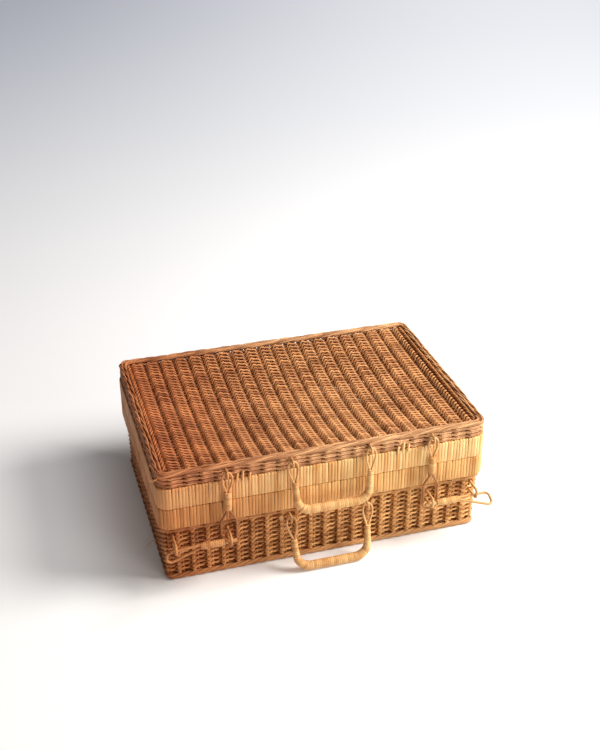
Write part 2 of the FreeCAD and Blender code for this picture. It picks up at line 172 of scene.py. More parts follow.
class Growth(Graph):
    """A geometry tree with named inputs, which ends in plain geometry with a material."""

    def __init__(self, name, numbers, counts):
        super().__init__(bpy.data.node_groups.new(name, "GeometryNodeTree"))
        sockets = self.tree.interface
        sockets.new_socket("Geometry", in_out="INPUT", socket_type="NodeSocketGeometry")
        for number in numbers:
            sockets.new_socket(number, in_out="INPUT", socket_type="NodeSocketFloat")
        for count in (*counts, "Seed"):
            sockets.new_socket(count, in_out="INPUT", socket_type="NodeSocketInt")
        sockets.new_socket("Path", in_out="INPUT", socket_type="NodeSocketObject")
        sockets.new_socket("Material", in_out="INPUT", socket_type="NodeSocketMaterial")
        sockets.new_socket("Geometry", in_out="OUTPUT", socket_type="NodeSocketGeometry")
        given = self.tree.nodes.new("NodeGroupInput")
        self.given = {output.name: Wire(self, output) for output in given.outputs if output.name}

    def random(self, low, high, number, salt):
        """A fixed random value for each number."""
        sockets = {2: low, 3: high, "ID": number, "Seed": self.given["Seed"] + salt}
        return self.take("FunctionNodeRandomValue", {"data_type": "FLOAT"}, sockets, 1)

    def kept(self, geometry, name, value, domain="POINT", data_type="FLOAT"):
        """Keep a value on the geometry under a name."""
        settings = {"domain": domain, "data_type": data_type}
        sockets = {"Geometry": geometry, "Name": name, "Value": value}
        return self.take("GeometryNodeStoreNamedAttribute", settings, sockets)

    def named(self, name, data_type="FLOAT"):
        return self.take("GeometryNodeInputNamedAttribute", {"data_type": data_type}, {"Name": name})

    def moved(self, geometry, offset):
        return self.take("GeometryNodeSetPosition", None, {"Geometry": geometry, "Offset": offset})

    def path(self, count):
        """The given line as a curve with evenly spaced points."""
        curve = self.take("GeometryNodeMeshToCurve", None, {"Mesh": self.given["Geometry"]})
        return self.take("GeometryNodeResampleCurve", {"mode": "COUNT"}, {"Curve": curve, "Count": count})

    def copied(self, curve, amount):
        """Copies of a curve in the same place, and the number of each."""
        sockets = {"Geometry": curve, "Amount": amount}
        copies = self.node("GeometryNodeDuplicateElements", {"domain": "SPLINE"}, sockets)
        return Wire(self, copies.outputs[0]), Wire(self, copies.outputs["Duplicate Index"])

    def drift(self, number, scale):
        """A slow wander from side to side, different for each number."""
        position = self.take("GeometryNodeInputPosition")
        sockets = {"Vector": position, "W": number, "Scale": scale, "Detail": 1.0}
        noise = self.take("ShaderNodeTexNoise", {"noise_dimensions": "4D"}, sockets, 1)
        return self.vector("SUBTRACT", noise, (0.5, 0.5, 0.5))

    def facing(self, up):
        """Away from the middle of the hamper, square to the path."""
        tangent = self.take("GeometryNodeInputTangent")
        side = self.vector("NORMALIZE", self.vector("CROSS_PRODUCT", tangent, up))
        position = self.take("GeometryNodeInputPosition")
        way = self.math("SIGN", self.vector("DOT_PRODUCT", side, position, output=1))
        return self.scaled(side, way)

    def rounded(self, curves, radius, corners):
        """Round cane along the curves, which keeps how far along and how far round each point is."""
        length = self.take("GeometryNodeSplineParameter", output=1)
        curves = self.kept(curves, "along", length)
        circle = self.take("GeometryNodeCurvePrimitiveCircle", None, {"Resolution": corners, "Radius": 1.0})
        circle = self.kept(circle, "around", self.take("GeometryNodeSplineParameter"))
        sockets = {"Curve": curves, "Profile Curve": circle, "Scale": radius, "Fill Caps": True}
        return self.take("GeometryNodeCurveToMesh", None, sockets)

    def finish(self, *geometries):
        join = self.tree.nodes.new("GeometryNodeJoinGeometry")
        for geometry in geometries:
            self.tree.links.new(geometry.socket, join.inputs[0])
        real = self.take("GeometryNodeRealizeInstances", None, {0: Wire(self, join.outputs[0])})
        smooth = self.take("GeometryNodeSetShadeSmooth", None, {0: real})
        sockets = {"Geometry": smooth, "Material": self.given["Material"]}
        coated = self.take("GeometryNodeSetMaterial", None, sockets)
        result = self.tree.nodes.new("NodeGroupOutput")
        self.feed(coated, result.inputs[0])
        return self.tree


def grow(name, tree, start, body, slot, replaced, sizes):
    """Run a tree on a starting mesh, and keep the result as a plain mesh that rides on a body."""
    piece = bpy.data.objects.new(name, start)
    bpy.context.scene.collection.objects.link(piece)
    modifier = piece.modifiers.new("Growth", "NODES")
    modifier.node_group = tree
    given = {"Material": finish_of(slot), **sizes}
    for item in tree.interface.items_tree:
        if item.in_out == "INPUT" and item.name in given:
            modifier[item.identifier] = given[item.name]
    bpy.context.view_layer.update()
    evaluated = bpy.context.evaluated_depsgraph_get()
    mesh = bpy.data.meshes.new_from_object(piece.evaluated_get(evaluated), depsgraph=evaluated)
    piece.modifiers.clear()
    piece.data = mesh
    mesh.name = name
    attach(piece, body)
    if replaced:
        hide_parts(*replaced)


def line_mesh(points, closed=False):
    """A mesh of edges along points."""
    count = len(points)
    edges = [(number, (number + 1) % count) for number in range(count if closed else count - 1)]
    mesh = bpy.data.meshes.new("line")
    mesh.from_pydata([tuple(point) for point in points], edges, [])
    return mesh


def case_line(inset, height, corner_radius, corner_points=8):
    """A level line round the case, set in from its faces."""
    low, high = case_box()
    radius = corner_radius - inset
    points = []
    for turn, (x, y) in enumerate([(high.x, high.y), (low.x, high.y), (low.x, low.y), (high.x, low.y)]):
        centre_x = x - math.copysign(corner_radius, x)
        centre_y = y - math.copysign(corner_radius, y)
        for step in range(corner_points + 1):
            angle = math.radians(90) * (turn + step / corner_points)
            points.append((centre_x + radius * math.cos(angle), centre_y + radius * math.sin(angle), height))
    return line_mesh(points, closed=True)


def case_box():
    """The lowest and highest corner over the two bound rims."""
    low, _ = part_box("base_rim_wrap")
    _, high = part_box("lid_rim_wrap")
    return low, high


# Weaving

def over_and_under(g, ribs_along, strand):
    """Where one weaver of a row is: how far out from the ribs' middles, how far up in its row, and how
    squarely it lies on a rib.

    The weavers of a row take turns: each passes in front of every rib but one of its round, and goes
    behind the last. It slants down from its crest, and climbs back to it over the length of its rise.
    Lengths along the row are in rib spacings.
    """
    before_rib = 0.25
    comes_from = 0.06
    comes_until = 0.22
    dive_length = 0.28
    given = g.given
    strands = given["Strands"]
    place = g.math("FRACT", (ribs_along + before_rib - strand) / strands) * strands
    on_rib = g.math("COSINE", (place - before_rib) * math.pi) ** 2.0
    bump = on_rib ** given["Rib sharpness"]
    front = given["Flat"] + (given["Over"] - given["Flat"]) * bump
    comes = g.eased(place, comes_from, comes_until)
    dives = strands - given["Dive"]
    goes = 1.0 - g.eased(place, dives, dives + dive_length)
    depth = given["Under"] + (front - given["Under"]) * comes * goes
    past_crest = (place - given["Crest"]) % strands
    fall = strands - given["Rise"]
    slant = 1.0 - 2.0 * g.eased(past_crest, 0.0, fall) + 2.0 * g.eased(past_crest, fall, strands)
    return depth, slant * given["Slant"], bump * comes


def weave_tree(name, up, settle, staked=False):
    """Rows of weavers that twist round upright ribs, worked along a path."""
    numbers = (
        "First rib", "Start", "Row height", "Slant", "Crest", "Rise", "Swell", "Dive", "Rib radius",
        "Stake radius", "Strand radius", "Rib sharpness", "Over", "Flat", "Under", "Wander", "Rib length",
        "Lean", "Sag", "Sag power", "Half length", "Half depth",
    )
    counts = ("Points", "Steps", "Rows", "Strands", "Corners", "Rib points")
    g = Growth(name, numbers, counts)
    given = g.given
    path = g.kept(g.path(given["Points"]), "face", g.facing(up), data_type="FLOAT_VECTOR")
    amount = given["Rows"] * given["Strands"]
    copies, number = g.copied(path, amount)
    row = g.math("FLOOR", number / given["Strands"])
    strand = number % given["Strands"]
    index = g.take("GeometryNodeSplineParameter", output=2)
    ribs_along = index / given["Steps"] + given["First rib"]
    depth, lift, pressed = over_and_under(g, ribs_along, strand)
    drift_out, drift_up, _ = g.parts_of(g.drift(number * 3.7 + given["Seed"], 45.0))
    height = given["Start"] + (row + 0.5) * given["Row height"] + lift + drift_up * given["Wander"] * 2.0
    outward = g.scaled(g.named("face", "FLOAT_VECTOR"), depth + drift_out * given["Wander"])
    offset = g.vector("ADD", outward, g.scaled(up, height))
    weavers = g.moved(copies, offset)
    weavers = g.kept(weavers, "tone", g.random(0.0, 1.0, number, 1), "CURVE")
    weavers = g.kept(weavers, "swell", 1.0 + pressed * given["Swell"])
    weavers = settle(g, weavers)
    thickness = given["Strand radius"] * g.random(0.93, 1.07, number, 2) * g.named("swell")
    weavers = g.rounded(weavers, thickness, given["Corners"])
    ribs = settle(g, rib_lines(g, path, up, 0))
    ribs = g.rounded(ribs, given["Rib radius"], 8)
    if not staked:
        return g.finish(weavers, ribs)
    stakes = rib_lines(g, path, up, 3)
    stakes = g.moved(stakes, g.scaled(g.named("face", "FLOAT_VECTOR"), -given["Stake radius"]))
    stakes = g.rounded(settle(g, stakes), given["Stake radius"], 5)
    return g.finish(weavers, ribs, stakes)


def rib_lines(g, path, up, steps_on):
    """One line for each rib, across the rows, or so many steps on from it."""
    given = g.given
    index = g.take("GeometryNodeInputIndex")
    past_rib = (index - steps_on + given["First rib"] * given["Steps"] + 0.25) % given["Steps"]
    wanted = g.math("LESS_THAN", past_rib, 0.5)
    start = g.scaled(up, given["Start"])
    end = g.scaled(up, given["Start"] + given["Rib length"])
    line = g.take("GeometryNodeCurvePrimitiveLine", None, {"Start": start, "End": end})
    sockets = {"Curve": line, "Count": given["Rib points"]}
    line = g.take("GeometryNodeResampleCurve", {"mode": "COUNT"}, sockets)
    sockets = {"Points": path, "Selection": wanted, "Instance": line}
    lines = g.take("GeometryNodeInstanceOnPoints", None, sockets)
    lines = g.take("GeometryNodeRealizeInstances", None, {0: lines})
    # Ribs take tones only from the paler part of the range: a painted highlight that makes the round ribs lighter
    # in colour than the weavers.
    return g.kept(lines, "tone", g.random(0.0, 0.6, g.take("GeometryNodeInputIndex"), 3), "CURVE")


def lean_in(g, curves):
    """The foot of a wall stands further in than its top."""
    given = g.given
    _, _, z = g.parts_of(g.take("GeometryNodeInputPosition"))
    share = 1.0 - (z - given["Start"]) / given["Rib length"]
    return g.moved(curves, g.scaled(g.named("face", "FLOAT_VECTOR"), -(share * given["Lean"])))


def stay_flat(g, curves):
    return curves


def sag_down(g, curves):
    """A panel hangs in the middle."""
    given = g.given
    x, y, _ = g.parts_of(g.take("GeometryNodeInputPosition"))
    across = 1.0 - g.math("MINIMUM", 1.0, abs(x) / given["Half length"]) ** given["Sag power"]
    along = 1.0 - g.math("MINIMUM", 1.0, abs(y) / given["Half depth"]) ** 2.0
    return g.moved(curves, g.joined(0.0, 0.0, -(across * along * given["Sag"])))


def shared_tree(name, build):
    """A tree that several pieces use, built for the first of them."""
    return bpy.data.node_groups.get(name) or build(name)


def build_rope(name):
    """Strands laid round each other along a path."""
    numbers = ("Turns", "Lay radius", "Strand radius", "Wander")
    g = Growth(name, numbers, ("Points", "Strands", "Corners"))
    given = g.given
    path = g.kept(g.path(given["Points"]), "face", g.facing(UP), data_type="FLOAT_VECTOR")
    copies, number = g.copied(path, given["Strands"])
    factor = g.take("GeometryNodeSplineParameter")
    angle = (factor * given["Turns"] + number / given["Strands"]) * math.tau
    outward = g.scaled(g.named("face", "FLOAT_VECTOR"), g.math("COSINE", angle) * given["Lay radius"])
    upward = g.scaled(UP, g.math("SINE", angle) * given["Lay radius"])
    drift = g.scaled(g.drift(given["Seed"] + number, 30.0), given["Wander"] * 2.0)
    laid = g.vector("ADD", g.vector("ADD", outward, upward), drift)
    strands = g.moved(copies, laid)
    strands = g.kept(strands, "tone", g.random(0.0, 1.0, number, 1), "CURVE")
    return g.finish(g.rounded(strands, given["Strand radius"], given["Corners"]))


def build_binding(name):
    """Copies of one strip, side by side along a path and each turned to face outwards."""
    g = Growth(name, ("Raggedness",), ("Strips",))
    given = g.given
    line = g.take("GeometryNodeObjectInfo", None, {"Object": given["Path"]}, "Geometry")
    curve = g.take("GeometryNodeMeshToCurve", None, {"Mesh": line})
    sockets = {"Curve": curve, "Count": given["Strips"]}
    curve = g.take("GeometryNodeResampleCurve", {"mode": "COUNT"}, sockets)
    curve = g.kept(curve, "face", g.facing(UP), data_type="FLOAT_VECTOR")
    face = g.named("face", "FLOAT_VECTOR")
    number = g.take("GeometryNodeInputIndex")
    curve = g.moved(curve, g.scaled(face, given["Raggedness"] * g.random(-1.0, 0.4, number, 1)))
    inward = g.scaled(face, -1.0)
    across = g.vector("CROSS_PRODUCT", inward, UP)
    axes = {"primary_axis": "Y", "secondary_axis": "X"}
    turned = g.take("FunctionNodeAxesToRotation", axes, {0: inward, 1: across})
    tilt = g.joined(0.0, g.random(-0.012, 0.012, number, 2), 0.0)
    tilt = g.take("FunctionNodeEulerToRotation", None, {0: tilt})
    turned = g.take("FunctionNodeRotateRotation", {"rotation_space": "LOCAL"}, {0: turned, 1: tilt})
    width = g.joined(g.random(0.98, 1.04, number, 3), 1.0, 1.0)
    sockets = {"Points": curve, "Instance": given["Geometry"], "Rotation": turned, "Scale": width}
    strips = g.take("GeometryNodeInstanceOnPoints", None, sockets)
    strips = g.kept(strips, "tone", g.random(0.0, 1.0, number, 4), "INSTANCE")
    return g.finish(strips)


def build_winding(name):
    """A path wound with flat cane, in close turns."""
    numbers = ("Radius", "End radius", "Taper", "Winding", "Groove", "Step")
    g = Growth(name, numbers, ("Corners",))
    given = g.given
    curve = g.take("GeometryNodeMeshToCurve", None, {"Mesh": given["Geometry"]})
    sockets = {"Curve": curve, "Length": given["Step"]}
    curve = g.take("GeometryNodeResampleCurve", {"mode": "LENGTH"}, sockets)
    so_far = g.take("GeometryNodeSplineParameter", output=1)
    to_end = g.math("MINIMUM", so_far, g.take("GeometryNodeSplineLength") - so_far)
    swell = g.eased(to_end, 0.0, given["Taper"])
    radius = given["End radius"] + (given["Radius"] - given["End radius"]) * swell
    tube = g.rounded(curve, radius, given["Corners"])
    turns = g.named("along") / given["Winding"] + g.named("around")
    share = g.math("FRACT", turns)
    groove = (1.0 - g.math("SINE", share * math.pi)) ** 3.0
    # The groove share dents the tube here, and the finish also darkens the colour by it: painted shade in the
    # creases.
    tube = g.kept(tube, "groove", groove)
    normal = g.take("GeometryNodeInputNormal")
    tube = g.moved(tube, g.scaled(normal, -(g.named("groove") * given["Groove"])))
    tube = g.kept(tube, "tone", g.random(0.0, 1.0, g.math("FLOOR", turns), 1))
    return g.finish(tube)


def rope_tree():
    return shared_tree("Laid rope", build_rope)


def binding_tree():
    return shared_tree("Bound strips", build_binding)


def winding_tree():
    return shared_tree("Wound cane", build_winding)


# Finishes

SHARED_COLOURS = {"floor_weave": "side_weave", "base_waling": "side_weave", "hinge_cane": "thin_cane"}


def finish_of(slot):
    """The finish of a material slot, made once."""
    name = slot + "_strands"
    return bpy.data.materials.get(name) or strand_finish(name, slot)


def carried_finish(kind):
    """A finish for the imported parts, which have no strands to follow."""
    name = kind + "_solid"
    return bpy.data.materials.get(name) or solid_finish(name, kind)


def colours_of(slot):
    colours = bpy.context.scene.hamper_colours
    family = SHARED_COLOURS.get(slot, slot)
    pale = getattr(colours, family + "_pale")
    deep = getattr(colours, family + "_deep")
    return (*pale, 1.0), (*deep, 1.0)


def shader_graph(name):
    material = bpy.data.materials.new(name)
    material.use_nodes = True
    material.node_tree.nodes.clear()
    return material, Graph(material.node_tree)


def cane_surface(g, colour, fibre, roughness, bump_depth):
    """Cane with a dull skin, and fine fibres that stand up from it."""
    sockets = {"Height": fibre, "Strength": 1.0, "Distance": bump_depth}
    bump = g.take("ShaderNodeBump", None, sockets)
    shader = g.take("ShaderNodeBsdfPrincipled", None, {
        "Base Color": colour, "Roughness": roughness, "Normal": bump, "Coat Weight": 0.03,
        "Coat Roughness": 0.4, "Specular IOR Level": 0.25,
    })
    g.node("ShaderNodeOutputMaterial", None, {"Surface": shader})


def painted_left_shade(g, spot, colour):
    """Painted shade: the left end of the basket is coloured darker and browner than the rest, standing in for the
    light falling off away from the lamp on the right.
    """
    left_shade = g.vector("MULTIPLY", colour, (0.76, 0.52, 0.44))
    return g.mixed(g.eased(g.parts_of(spot)[0], -0.22, 0.06), left_shade, colour)


def attribute(g, name):
    return g.take("ShaderNodeAttribute", {"attribute_name": name}, None, "Fac")


def noise(g, spot, scale, detail, distortion=0.0):
    sockets = {"Vector": spot, "Scale": scale, "Detail": detail, "Distortion": distortion}
    return g.take("ShaderNodeTexNoise", None, sockets, "Fac")


def strand_finish(name, slot):
    """Cane whose fibres run along each strand, and whose strands differ."""
    pale, deep = colours_of(slot)
    material, g = shader_graph(name)
    along = attribute(g, "along")
    around = attribute(g, "around") * math.tau
    tone = attribute(g, "tone")
    offset = tone * 31.0
    cosine = g.math("COSINE", around)
    sine = g.math("SINE", around)
    fibre = noise(g, g.joined(along * 22.0 + offset, cosine * 1.6 + offset, sine * 1.6), 1.0, 3.0)
    fine = noise(g, g.joined(along * 45.0 + offset, cosine * 5.0, sine * 5.0 + offset), 1.0, 2.0)
    spot = g.take("ShaderNodeTexCoord", None, None, "Object")
    patch = noise(g, spot, 26.0, 2.0)
    share = (tone - 0.5) * 0.75 + (fibre - 0.5) * 0.9 + (patch - 0.5) * 0.9 + (fine - 0.5) * 0.5 + 0.42
    # Painted shade: the colour goes deeper down in the grooves between the turns of a winding.
    share = share + attribute(g, "groove") * 0.9
    # The colour darkens and browns towards the left end: painted shade.
    colour = painted_left_shade(g, spot, g.mixed(g.clamped(share), pale, deep))
    cane_surface(g, colour, fine, 0.45 + fibre * 0.25, 0.00003)
    return material


def solid_finish(name, slot):
    """Cane or wood with fibres that wander through the piece."""
    pale, deep = colours_of(slot)
    material, g = shader_graph(name)
    spot = g.take("ShaderNodeTexCoord", None, None, "Object")
    patch = noise(g, spot, 90.0, 3.0)
    fine = noise(g, spot, 420.0, 2.0, 0.4)
    share = (patch - 0.5) * 1.5 + (fine - 0.5) * 0.7 + 0.4
    # The colour darkens and browns towards the left end: painted shade.
    colour = painted_left_shade(g, spot, g.mixed(g.clamped(share), pale, deep))
    cane_surface(g, colour, fine, 0.45 + patch * 0.25, 0.0001)
    return material


# The sizes and colours that a user would change

def size(name, description, default):
    """A length in metres."""
    return FloatProperty(name=name, description=description, default=default, unit="LENGTH", min=0.0)


def tint(name, description, default):
    """A colour, as red, green and blue."""
    return FloatVectorProperty(
        name=name, description=description, default=default, subtype="COLOR", min=0.0, max=1.0
    )


class HamperSizes(bpy.types.PropertyGroup):
    """Sizes of the weave, the binding and the windings."""

    corner_radius: size("Corner radius", "Upright corners of the bound rims", 0.016)
    ribs_round: IntProperty(name="Ribs round the case", description="A multiple of six", default=72, min=12)
    ribs_across: IntProperty(
        name="Ribs across the lid", description="Ridges in the lid's top", default=20, min=4
    )
    wall_row: size("Wall row", "Height of one row of the base's weave", 0.0070)
    wall_weaver: size("Wall weaver", "Thickness of the base's weavers", 0.0029)
    wall_rib: size("Wall rib", "Thickness of the base's uprights", 0.0052)
    wall_lean: size("Wall lean", "How much further in the foot of the weave stands", 0.002)
    lid_row: size("Lid row", "Width of one row of the lid's weave", 0.00688)
    lid_weaver: size("Lid weaver", "Thickness of the lid's weavers", 0.0032)
    lid_rib: size("Lid rib", "Thickness of the ridges in the lid's top", 0.0056)
    lid_sag: size("Lid sag", "How far the middle of the lid's top hangs", 0.018)
    side_cord: size("Side cord", "Thickness of the cord along each end of the lid's top", 0.006)
    strip_spacing: size("Strip spacing", "From one strip of the binding to the next", 0.0042)
    strip_thickness: size("Strip thickness", "Thickness of one strip of the binding", 0.0007)
    handle_winding: size("Handle winding", "Width of the flat cane wound on the handles", 0.0027)
    thin_cane: size("Thin cane", "Thickness of the cane of the eyes", 0.0029)
    eye_width: size("Eye width", "Half of it is how far an eye bows out to each side", 0.0115)
    latch_winding: size("Latch winding", "Width of the cane wound on the hasps and pegs", 0.0024)


class HamperColours(bpy.types.PropertyGroup):
    """Pale and deep colours of each kind of cane."""

    lid_weave_pale: tint("Lid weave, pale", "Sunlit strands of the lid's top", (0.72, 0.35, 0.14))
    lid_weave_deep: tint("Lid weave, deep", "Darker strands of the lid's top", (0.28, 0.095, 0.03))
    lid_waling_pale: tint("Lid waling, pale", "Strands round the lid's sides", (0.84, 0.48, 0.23))
    lid_waling_deep: tint("Lid waling, deep", "Darker strands round the lid's sides", (0.26, 0.09, 0.032))
    lid_binding_pale: tint("Lid binding, pale", "Flat cane round the lid's rim", (0.95, 0.66, 0.30))
    lid_binding_deep: tint("Lid binding, deep", "Darker strips of the lid's rim", (0.66, 0.32, 0.095))
    base_binding_pale: tint("Base binding, pale", "Flat cane round the base's rim", (0.9, 0.53, 0.2))
    base_binding_deep: tint("Base binding, deep", "Darker strips of the base's rim", (0.5, 0.22, 0.06))
    side_weave_pale: tint("Side weave, pale", "Strands of the base's sides", (0.92, 0.52, 0.20))
    side_weave_deep: tint("Side weave, deep", "Darker strands of the base's sides", (0.4, 0.165, 0.052))
    foot_border_pale: tint("Foot border, pale", "Rolled border at the foot", (0.68, 0.37, 0.15))
    foot_border_deep: tint("Foot border, deep", "Darker strands of the foot border", (0.42, 0.19, 0.07))
    handle_binding_pale: tint("Winding, pale", "Cane wound on handles, hasps and pegs", (0.88, 0.58, 0.26))
    handle_binding_deep: tint("Winding, deep", "Darker turns of the windings", (0.56, 0.27, 0.085))
    thin_cane_pale: tint("Thin cane, pale", "Rings, eyes, staples and loops", (0.8, 0.49, 0.21))
    thin_cane_deep: tint("Thin cane, deep", "Darker parts of the thin cane", (0.42, 0.2, 0.07))
    bow_cane_pale: tint("Bow, pale", "Weathered cane of the hasps' bows", (0.46, 0.22, 0.085))
    bow_cane_deep: tint("Bow, deep", "Darker parts of the bows", (0.22, 0.09, 0.032))
    hoop_wood_pale: tint("Hoop, pale", "Bent wood inside the binding", (0.40, 0.24, 0.11))
    hoop_wood_deep: tint("Hoop, deep", "Darker grain of the hoop", (0.22, 0.12, 0.05))


# The pieces

RIM_DEPTH = 0.009
LID_WALING_WEAVER = 0.0031
LID_WALING_RIB = 0.0040
BASE_WALING_WEAVER = 0.0026
BASE_WALING_RIB = 0.0036


def wall_sizes(node, sizes, weaver, rib, rows):
    """What every woven side has in common. The weaver and the rib are thicknesses."""
    low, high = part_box(node)
    height = high.z - low.z
    steps = 10
    return {
        "Points": sizes.ribs_round * steps,
        "Steps": steps,
        "Rib radius": rib / 2,
        "Strand radius": weaver / 2,
        "Wander": 0.0004,
        "Start": low.z,
        "Row height": height / rows,
        "Rib length": height,
        "Rows": rows,
    }


def waling_sizes(node, sizes, weaver, rib, rows):
    """Waling is worked with three weavers, close together."""
    values = wall_sizes(node, sizes, weaver, rib, rows)
    values.update({
        "Crest": 0.0, "Rise": 0.7, "Dive": 1.15, "Rib sharpness": 1.5, "Over": rib / 2 + 0.25 * weaver,
        "Under": -rib / 2 - 0.4 * weaver, "Strands": 3, "Corners": 6, "Rib points": 2,
    })
    return values


def front_inset(node):
    """How far a node's front stands back from the face of the rims."""
    case_low, _ = case_box()
    low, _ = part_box(node)
    return low.y - case_low.y


def waling_line(node, sizes, weaver, rib):
    """Where the waling's ribs stand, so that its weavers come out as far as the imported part."""
    return case_line(front_inset(node) + rib / 2 + 0.75 * weaver, 0.0, sizes.corner_radius)


class HAMPER_OT_lid_top(bpy.types.Operator):
    """Weave the sagging top of the lid, with a cord along each end"""

    bl_idname = "hamper.lid_top"
    bl_label = "Lid top"

    def execute(self, context):
        sizes = context.scene.hamper_sizes
        _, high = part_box("lid_panel")
        half_length = high.x
        half_depth = high.y
        depth = 2 * half_depth
        steps = 11
        rows = round(depth / sizes.lid_row)
        weaver = sizes.lid_weaver / 2
        rib = sizes.lid_rib / 2
        over = rib - 0.5 * weaver
        axis_height = high.z - over - weaver
        line = line_mesh([(-half_length, 0.0, axis_height), (half_length, 0.0, axis_height)])
        tree = weave_tree("Woven top", BACKWARD, sag_down)
        grow("lid_top_weave", tree, line, "lid", "lid_weave", ["lid_panel"], {
            "First rib": -0.5, "Start": -half_depth, "Row height": depth / rows, "Rib length": depth,
            "Slant": 0.0016, "Crest": 0.45, "Rise": 0.5, "Dive": 1.27, "Wander": 0.0003,
            "Rib radius": rib, "Strand radius": weaver, "Rib sharpness": 5.0,
            "Over": over, "Flat": -0.0010, "Under": -rib - 1.4 * weaver,
            "Sag": sizes.lid_sag, "Sag power": 2.4, "Half length": half_length, "Half depth": half_depth,
            "Points": sizes.ribs_across * steps + 1, "Steps": steps, "Rows": rows, "Strands": 2,
            "Corners": 5, "Rib points": 40, "Seed": 3,
        })
        for side in SIDES:
            self.lay_side_cord(side, sizes)
        return {"FINISHED"}

    def lay_side_cord(self, side, sizes):
        node = "lid_side_cord_" + side
        low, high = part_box(node)
        middle = (low + high) / 2
        line = line_mesh([(middle.x, low.y, middle.z), (middle.x, high.y, middle.z)])
        strand = sizes.side_cord * 0.26
        grow("lid_end_cord_" + side, rope_tree(), line, "lid", "lid_weave", [node], {
            "Turns": 11.0, "Lay radius": strand, "Strand radius": strand,
            "Points": 200, "Strands": 3, "Corners": 8, "Seed": 5,
        })


class HAMPER_OT_lid_sides(bpy.types.Operator):
    """Work the dark waling round the lid and the rolled border on top of it"""

    bl_idname = "hamper.lid_sides"
    bl_label = "Lid sides"

    def execute(self, context):
        sizes = context.scene.hamper_sizes
        values = waling_sizes("lid_wale", sizes, LID_WALING_WEAVER, LID_WALING_RIB, 3)
        values.update({"Slant": 0.0018, "Flat": LID_WALING_RIB / 4, "Seed": 11})
        line = waling_line("lid_wale", sizes, LID_WALING_WEAVER, LID_WALING_RIB)
        tree = weave_tree("Lid waling", UP, stay_flat)
        grow("lid_side_waling", tree, line, "lid", "lid_waling", ["lid_wale"], values)
        self.lay_border(sizes)
        return {"FINISHED"}

    def lay_border(self, sizes):
        low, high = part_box("lid_border")
        height = (low.z + high.z) / 2
        inset = front_inset("lid_border")
        for number, (further_in, turns) in enumerate(((0.0027, 26.0), (0.0074, 22.0))):
            name = "lid_border_rope_" + str(number + 1)
            line = case_line(inset + further_in, height, sizes.corner_radius)
            grow(name, rope_tree(), line, "lid", "lid_waling", ["lid_border"], {
                "Turns": turns, "Lay radius": 0.0013, "Strand radius": 0.0015, "Wander": 0.0014,
                "Points": 1000, "Strands": 3, "Corners": 6, "Seed": 20 + number,
            })


class HAMPER_OT_base_sides(bpy.types.Operator):
    """Weave the base's sides, the two rows of waling above and the rolled foot below"""

    bl_idname = "hamper.base_sides"
    bl_label = "Base sides"

    def execute(self, context):
        sizes = context.scene.hamper_sizes
        self.weave_wall(sizes)
        self.work_waling(sizes)
        self.roll_foot(sizes)
        return {"FINISHED"}

    def weave_wall(self, sizes):
        low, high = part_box("base_wall")
        weaver = sizes.wall_weaver / 2
        rib = sizes.wall_rib / 2
        over = rib - 0.25 * weaver
        rows = round((high.z - low.z) / sizes.wall_row)
        values = wall_sizes("base_wall", sizes, sizes.wall_weaver, sizes.wall_rib, rows)
        values.update({
            "Slant": 0.0027, "Crest": 0.45, "Rise": 0.45, "Swell": 0.45, "Dive": 1.24,
            "Stake radius": 0.0011, "Rib sharpness": 2.0, "Over": over, "Flat": 0.0006,
            "Under": -rib - 1.5 * weaver, "Lean": sizes.wall_lean, "Strands": 2, "Corners": 5,
            "Rib points": 6, "Seed": 7,
        })
        line = case_line(front_inset("base_wall") + over + 1.45 * weaver, 0.0, sizes.corner_radius)
        tree = weave_tree("Woven sides", UP, lean_in, staked=True)
        grow("base_side_weave", tree, line, "base", "side_weave", ["base_wall"], values)

    def work_waling(self, sizes):
        values = waling_sizes("base_wale", sizes, BASE_WALING_WEAVER, BASE_WALING_RIB, 2)
        values.update({"Slant": 0.0012, "Flat": BASE_WALING_RIB / 2, "Seed": 13})
        line = waling_line("base_wale", sizes, BASE_WALING_WEAVER, BASE_WALING_RIB)
        tree = weave_tree("Base waling", UP, stay_flat)
        grow("base_side_waling", tree, line, "base", "base_waling", ["base_wale"], values)

    def roll_foot(self, sizes):
        low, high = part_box("base_foot_border")
        radius = (high.z - low.z) / 2
        line = case_line(front_inset("base_foot_border") + radius, low.z + radius, sizes.corner_radius)
        grow("base_foot_rope", rope_tree(), line, "base", "foot_border", ["base_foot_border"], {
            "Turns": 26.0, "Lay radius": radius * 0.52, "Strand radius": radius * 0.47,
            "Points": 900, "Strands": 4, "Corners": 8, "Seed": 17,
        })


class HAMPER_OT_floor(bpy.types.Operator):
    """Weave the floor of the base"""

    bl_idname = "hamper.floor"
    bl_label = "Base floor"

    def execute(self, context):
        sizes = context.scene.hamper_sizes
        low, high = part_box("base_floor")
        depth = high.y - low.y
        steps = 8
        row = 0.0066
        rows = round(depth / row)
        rib = 0.0015
        middle = (low.z + high.z) / 2
        line = line_mesh([(low.x, 0.0, middle), (high.x, 0.0, middle)])
        tree = weave_tree("Woven floor", BACKWARD, stay_flat)
        grow("base_floor_weave", tree, line, "base", "floor_weave", ["base_floor"], {
            "First rib": -0.5, "Start": low.y, "Row height": depth / rows, "Rib length": depth,
            "Slant": row / 4, "Crest": 0.45, "Rise": 0.5, "Dive": 1.15, "Wander": 0.0003,
            "Rib radius": rib, "Strand radius": 0.0017, "Rib sharpness": 3.0,
            "Over": rib * 0.8, "Flat": 0.0, "Under": -rib * 0.8,
            "Points": sizes.ribs_across * steps + 1, "Steps": steps, "Rows": rows, "Strands": 2,
            "Corners": 5, "Rib points": 2, "Seed": 19,
        })
        return {"FINISHED"}


